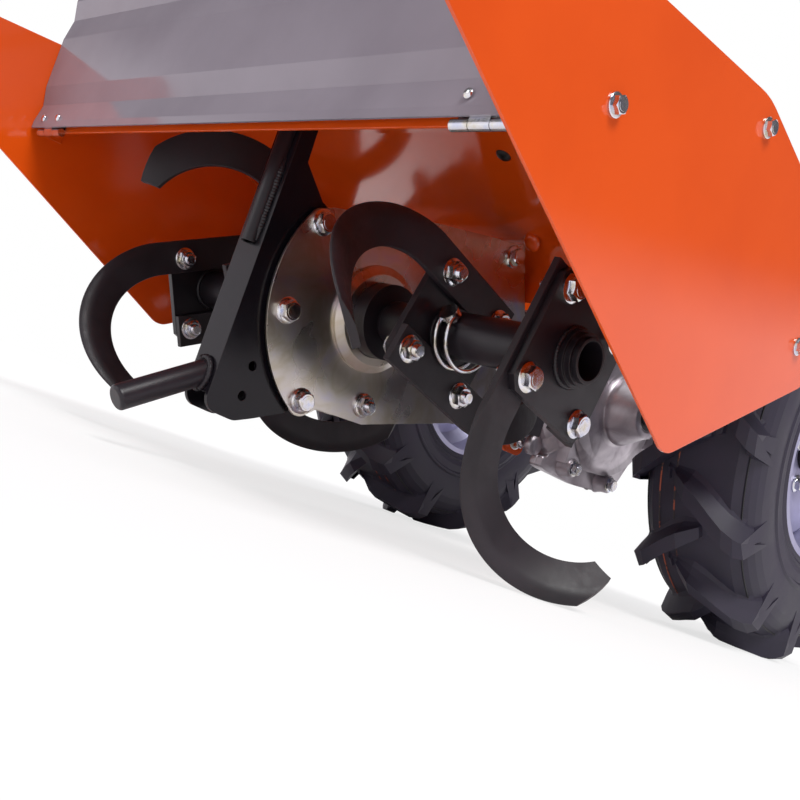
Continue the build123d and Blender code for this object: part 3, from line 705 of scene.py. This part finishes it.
for side in (1, -1):
    word = "right" if side > 0 else "left"
    middle = axlePoint(side * tyre["middle"], 0, 0)
    addPiece("tyre_casing_" + word, tyreMesh(side), rubber, "wheel_" + word, ["tyre_" + word],
             sharp=tyre["sharp"])
    build = bmesh.new()
    for x in tyre["inkLines"]["spots"]:
        thinRing(build, side * x, tyre["inkLines"], middle)
    addPiece("tyre_marking_" + word, build, ink, "wheel_" + word, sharp=80)
    build = bmesh.new()
    for wall in (1, -1):
        thinRing(build, wall * tyre["flash"]["x"], tyre["flash"], middle)
    addPiece("tyre_flash_line_" + word, build, sealRubber, "wheel_" + word, sharp=80)
print("tyres ready")

# weld beads
weld = {
    "step": 2.4, "sides": 10, "ripple": 0.16, "rough": 0.25, "grain": 160, "endShare": 0.35, "endRise": 4,
    "sharp": 60,
    "hubBeads": [(106.4, 19.8), (113.6, 21.2), (229.4, 19.8), (236.6, 21.2)], "hubSize": 1.9,  # x and radius
    "tubeY": -129.4, "tubeEdges": (-8.4, 8.4), "tubeSpots": (16, 40, 62, 84), "tubeSize": 2.4,  # up the bracket
    "rodY": -130.6, "rodZ": -94.6, "rodRing": (10.6, 12.6), "rodSteps": 48, "rodSize": 2.3,  # round the foot rod
}


def weldBead(build, line, size, closed=False):
    # a rippled bead along a line of points
    spans = [(b - a).length for a, b in zip(line, line[1:] + ([line[0]] if closed else []))]
    total, rings, sides = sum(spans), [], weld["sides"]
    count = max(8, int(total / (weld["step"] * mm / 3)))
    for n in range(count if closed else count + 1):
        want, i = total * n / count, 0
        while i < len(spans) - 1 and want > spans[i]:
            want -= spans[i]
            i += 1
        a, b = line[i], line[(i + 1) % len(line)]
        way = (b - a).normalized()
        centre = a + way * want
        ripple = weld["ripple"] * math.sin(2 * math.pi * n / 3)
        rough = weld["rough"] * noise.noise(centre * weld["grain"])
        radius = size * mm * (1 + ripple + rough)
        if not closed:
            radius *= min(1, weld["endShare"] + weld["endRise"] * min(n, count - n) / count)
        across = way.orthogonal() if abs(way.x) > 0.9 else Vector((1, 0, 0)).cross(way)
        across.normalize()
        other = way.cross(across)
        turns = (2 * math.pi * k / sides for k in range(sides))
        around = [across * math.cos(t) + other * math.sin(t) for t in turns]
        rings.append(addRing(build, [centre + spoke * radius for spoke in around]))
    joinRings(build, rings + ([rings[0]] if closed else []))
    if not closed:
        build.faces.new(rings[0])
        build.faces.new(rings[-1])


build = bmesh.new()
for side in (1, -1):
    for x, radius in weld["hubBeads"]:
        middle = rotorPoint(side * x, 0, 0)
        weldBead(build, [middle + point for point in circle(radius * mm, 96)], weld["hubSize"], True)
addPiece("rotor_welds", build, black, "rotor", sharp=weld["sharp"])
build = bmesh.new()
for x in weld["tubeEdges"]:
    weldBead(build, [rotorPoint(x, weld["tubeY"], z) for z in weld["tubeSpots"]], weld["tubeSize"])
rodWide, rodHigh = weld["rodRing"]
rodRing = []
for i in range(weld["rodSteps"]):
    a = 2 * math.pi * i / weld["rodSteps"]
    rodRing.append(rotorPoint(rodWide * math.cos(a), weld["rodY"], weld["rodZ"] + rodHigh * math.sin(a)))
weldBead(build, rodRing, weld["rodSize"], True)
addPiece("bracket_welds", build, black, "chassis", sharp=weld["sharp"])
print("welds ready")

# cast covers of the wheel gearbox, over the plain halves
cover = {
    "outline": [(-97, 92), (-97, -30), (-82, -52), (-64, -68), (-34, -79), (8, -81), (38, -76), (60, -60),
                (76, -36), (93, -6), (93, 92)],
    "centre": (4, 6), "bevel": 1.4, "sharp": 32,
    "skins": [  # x and scale
        (7.5, 1.0), (12, 0.985), (17, 0.95), (21, 0.9), (24.4, 0.82), (26.2, 0.7), (26.8, 0.5)],
    "horn": [(22, 50), (26.8, 49), (28.4, 45.5), (29.4, 42), (30.6, 39.8), (32, 38.6), (34, 37.6),
             (64, 28.4), (66.2, 27.4), (66.8, 26), (66.8, 20), (62, 18.6), (60, 18.2)], "hornSteps": 72,
    "bosses": [(-44, -85), (35, -85), (-96, 22), (-60, 88), (70, 60)], "bossRadius": 10.5, "bossFace": 23.0,
    "boltSize": "m8", "boltTurn": 13,
    "rib": [(-60, -84), (-34, -84), (-36, -30), (-70, -22)], "ribTop": (20, 20, 25, 25), "ribFoot": 7.0,
    "ribLean": (0.97, 0.98),
}
casting = {  # how the plain half is slimmed: its horn's step and radii, and the boss by the left frame plate
    "hornStep": 29.0, "hornRadius": 45.0, "slimRadius": 35.5, "faceRadius": 41.0,
    "bodyHalf": 24.0, "flangeHalf": 8.3, "footBoss": (-92, -76), "bossReach": 12.5, "sharp": 30,
}


def roundedLoop(points, cut=0.24, passes=3):
    # rounds an outline by cutting its corners
    for step in range(passes):
        new = []
        for (ay, az), (by, bz) in zip(points, points[1:] + points[:1]):
            dy, dz = (by - ay) * cut, (bz - az) * cut
            new += [(ay + dy, az + dz), (by - dy, bz - dz)]
        points = new
    return points


def slimCasting(name, side):
    # the CAD half with a slimmer horn, and on the left without the boss behind the frame plate's foot
    node = frame["nodes"][name]
    build = bmesh.new()
    build.from_mesh(node.data)
    build.transform(node.matrix_world)
    bmesh.ops.remove_doubles(build, verts=build.verts, dist=0.01 * mm)
    for corner in build.verts:
        x, y, z = (corner.co - axleAxis) / mm
        radius = wanted = math.hypot(y, z)
        if abs(abs(x) - casting["hornStep"]) < 0.2:
            if abs(radius - casting["hornRadius"]) < 1:
                wanted = casting["slimRadius"]
            elif radius > casting["hornRadius"]:
                wanted = casting["faceRadius"]
        y, z = y * wanted / radius, z * wanted / radius
        fromBoss = math.hypot(y - casting["footBoss"][0], z - casting["footBoss"][1])
        if side < 0 and abs(x) > casting["bodyHalf"] + 0.2 and fromBoss < casting["bossReach"]:
            x = -casting["flangeHalf"]
        corner.co = axlePoint(x, y, z)
    return build


for side in (1, -1):
    word = "right" if side > 0 else "left"
    plainHalf = "gearbox_half_" + word
    addPiece("gearbox_casting_" + word, slimCasting(plainHalf, side), aluminium, "chassis",
             [plainHalf], sharp=casting["sharp"])
    build, mirror = bmesh.new(), Matrix.Diagonal((side, 1, 1, 1))
    loop, (cy, cz) = roundedLoop(cover["outline"]), cover["centre"]
    rings = [addRing(build, [axlePoint(side * x, cy + (y - cy) * k, cz + (z - cz) * k) for y, z in loop])
             for x, k in cover["skins"]]
    joinRings(build, rings)
    build.faces.new(rings[-1])
    horn = [(x * mm, r * mm) for x, r in cover["horn"]]
    lathe(build, horn, cover["hornSteps"], Matrix.Translation(axleAxis) @ mirror)
    r, face = cover["bossRadius"], cover["bossFace"]
    bossProfile = [(6, r + 3), (10, r + 1.4), (14, r + 0.4), (face - 0.8, r), (face, r - 0.8), (face, 0)]
    boss = [(x * mm, q * mm) for x, q in bossProfile]
    for y, z in cover["bosses"]:
        lathe(build, boss, 36, Matrix.Translation(axlePoint(0, y, z)) @ mirror)
    leanY, leanZ = cover["ribLean"]
    foot = addRing(build, [axlePoint(side * cover["ribFoot"], y, z) for y, z in cover["rib"]])
    head = addRing(build, [axlePoint(side * x, y * leanY, z * leanZ)
                           for x, (y, z) in zip(cover["ribTop"], cover["rib"])])
    joinRings(build, [foot, head])
    build.faces.new(head)
    addPiece("gearbox_cover_" + word, build, aluminium, "chassis", bevel=cover["bevel"] * mm,
             sharp=cover["sharp"])
    build = bmesh.new()
    for i, (y, z) in enumerate(cover["bosses"]):
        flangeHead(build, cover["boltSize"], outward(axlePoint(side * face, y, z), side, cover["boltTurn"] * i))
    addPiece("gearbox_bolts_" + word, build, boltZinc, "chassis", sharp=22)

# bolts that hold the frame plates on the gearbox
frameBolts = {"face": 33.0, "inner": 30.0, "high": (-90, 60), "low": (-92, -76), "size": "m10",
              "highTurn": 20, "lowTurn": 8, "nutTurn": 32}
build = bmesh.new()
high, low, face, inner = frameBolts["high"], frameBolts["low"], frameBolts["face"], frameBolts["inner"]
for side in (1, -1):
    flangeHead(build, frameBolts["size"], outward(axlePoint(side * face, *high), side, frameBolts["highTurn"]))
flangeHead(build, frameBolts["size"], outward(axlePoint(-face, *low), -1, frameBolts["lowTurn"]))
flangeNut(build, frameBolts["size"], outward(axlePoint(-inner, *low), 1, frameBolts["nutTurn"]))
addPiece("frame_bolts", build, boltZinc, "chassis", sharp=22)
print("gearbox ready")

# hub bolts, axle pins and valves of the wheels
wheel = {
    "boltRadius": 34.0, "boltFace": 15.0, "boltTurn": 9, "pinAt": 21.0, "valveAt": (12, 90.0),
    "pin": [(-25, 0), (-25, 3.4), (-24.4, 4.0), (24, 4.0), (24, 7.0), (27, 7.0), (28, 6.0), (28, 0)],
    "valve": [(-6, 0), (-6, 7), (-2, 7.5), (1, 5), (4, 3.6), (20, 3.4), (21, 4.0), (30, 3.8), (31, 2.6),
              (31, 0)],
}
for side in (1, -1):
    word = "right" if side > 0 else "left"
    build = bmesh.new()
    for i in range(4):
        a = math.radians(90 * i)
        y, z = wheel["boltRadius"] * math.cos(a), wheel["boltRadius"] * math.sin(a)
        spot = axlePoint(side * (tyre["middle"] + wheel["boltFace"]), y, z)
        flangeHead(build, "m8", outward(spot, side, wheel["boltTurn"] * i))
    pinMiddle = Matrix.Translation(axlePoint(side * (tyre["middle"] + wheel["pinAt"]), 0, 0))
    pinPlace = pinMiddle @ Matrix.Rotation(math.pi / 2, 4, "Z")
    lathe(build, [(x * mm, r * mm) for x, r in wheel["pin"]], 32, pinPlace)
    addPiece("hub_bolts_" + word, build, boltZinc, "wheel_" + word, sharp=30)
    build = bmesh.new()
    valveX, valveZ = wheel["valveAt"]
    valveFoot = outward(axlePoint(side * (tyre["middle"] + valveX), 0, valveZ), side)
    lathe(build, [(x * mm, r * mm) for x, r in wheel["valve"]], 28, valveFoot)
    addPiece("valve_" + word, build, sealRubber, "wheel_" + word, sharp=40)
print("wheel trim ready")

# rivets and screw of the flap
flapTrim = {"radius": 3.4, "rise": 2.0, "backFace": 5.7,
            "spots": [(-300.0, 12.0), (-269.5, 12.0), (253.5, 16.0)]}


def domeHead(build, place, radius, rise):
    turns = (math.pi / 2 * i / 8 for i in range(1, 8))
    dome = [(rise * math.sin(a), radius * math.cos(a)) for a in turns]
    lathe(build, [(0, 0), (0, radius)] + dome + [(rise, 0)], 32, place)


rearward = Matrix.Rotation(-math.pi / 2, 4, "Z")
build = bmesh.new()
for x, z in flapTrim["spots"]:
    spot = hingeAxis + Vector((x, -flapTrim["backFace"], z)) * mm
    domeHead(build, Matrix.Translation(spot) @ rearward, flapTrim["radius"] * mm, flapTrim["rise"] * mm)
addPiece("flap_rivets", build, boltZinc, "flap", sharp=40)

# plug and pressed boss inside the hood
hoodTrim = [  # name, place from the rotor, radius, rise, lean, material, slot, sharp angle
    ("hood_plug", (68, 36, 171.0), 7.5, 5.0, 12.5, sealRubber, "seal_rubber", 40),
    ("hood_boss", (25, 156.5, 139.0), 10.0, 5.0, 50.0, orange, "orange_paint", 60),
]
for name, spot, radius, rise, lean, material, slot, sharp in hoodTrim:
    build = bmesh.new()
    downward = Matrix.Rotation(math.radians(-lean), 4, "X") @ Matrix.Rotation(math.pi / 2, 4, "Y")
    domeHead(build, Matrix.Translation(rotorPoint(*spot)) @ downward, radius * mm, rise * mm)
    addPiece(name, build, material, "chassis", sharp=sharp)
print("trim ready")
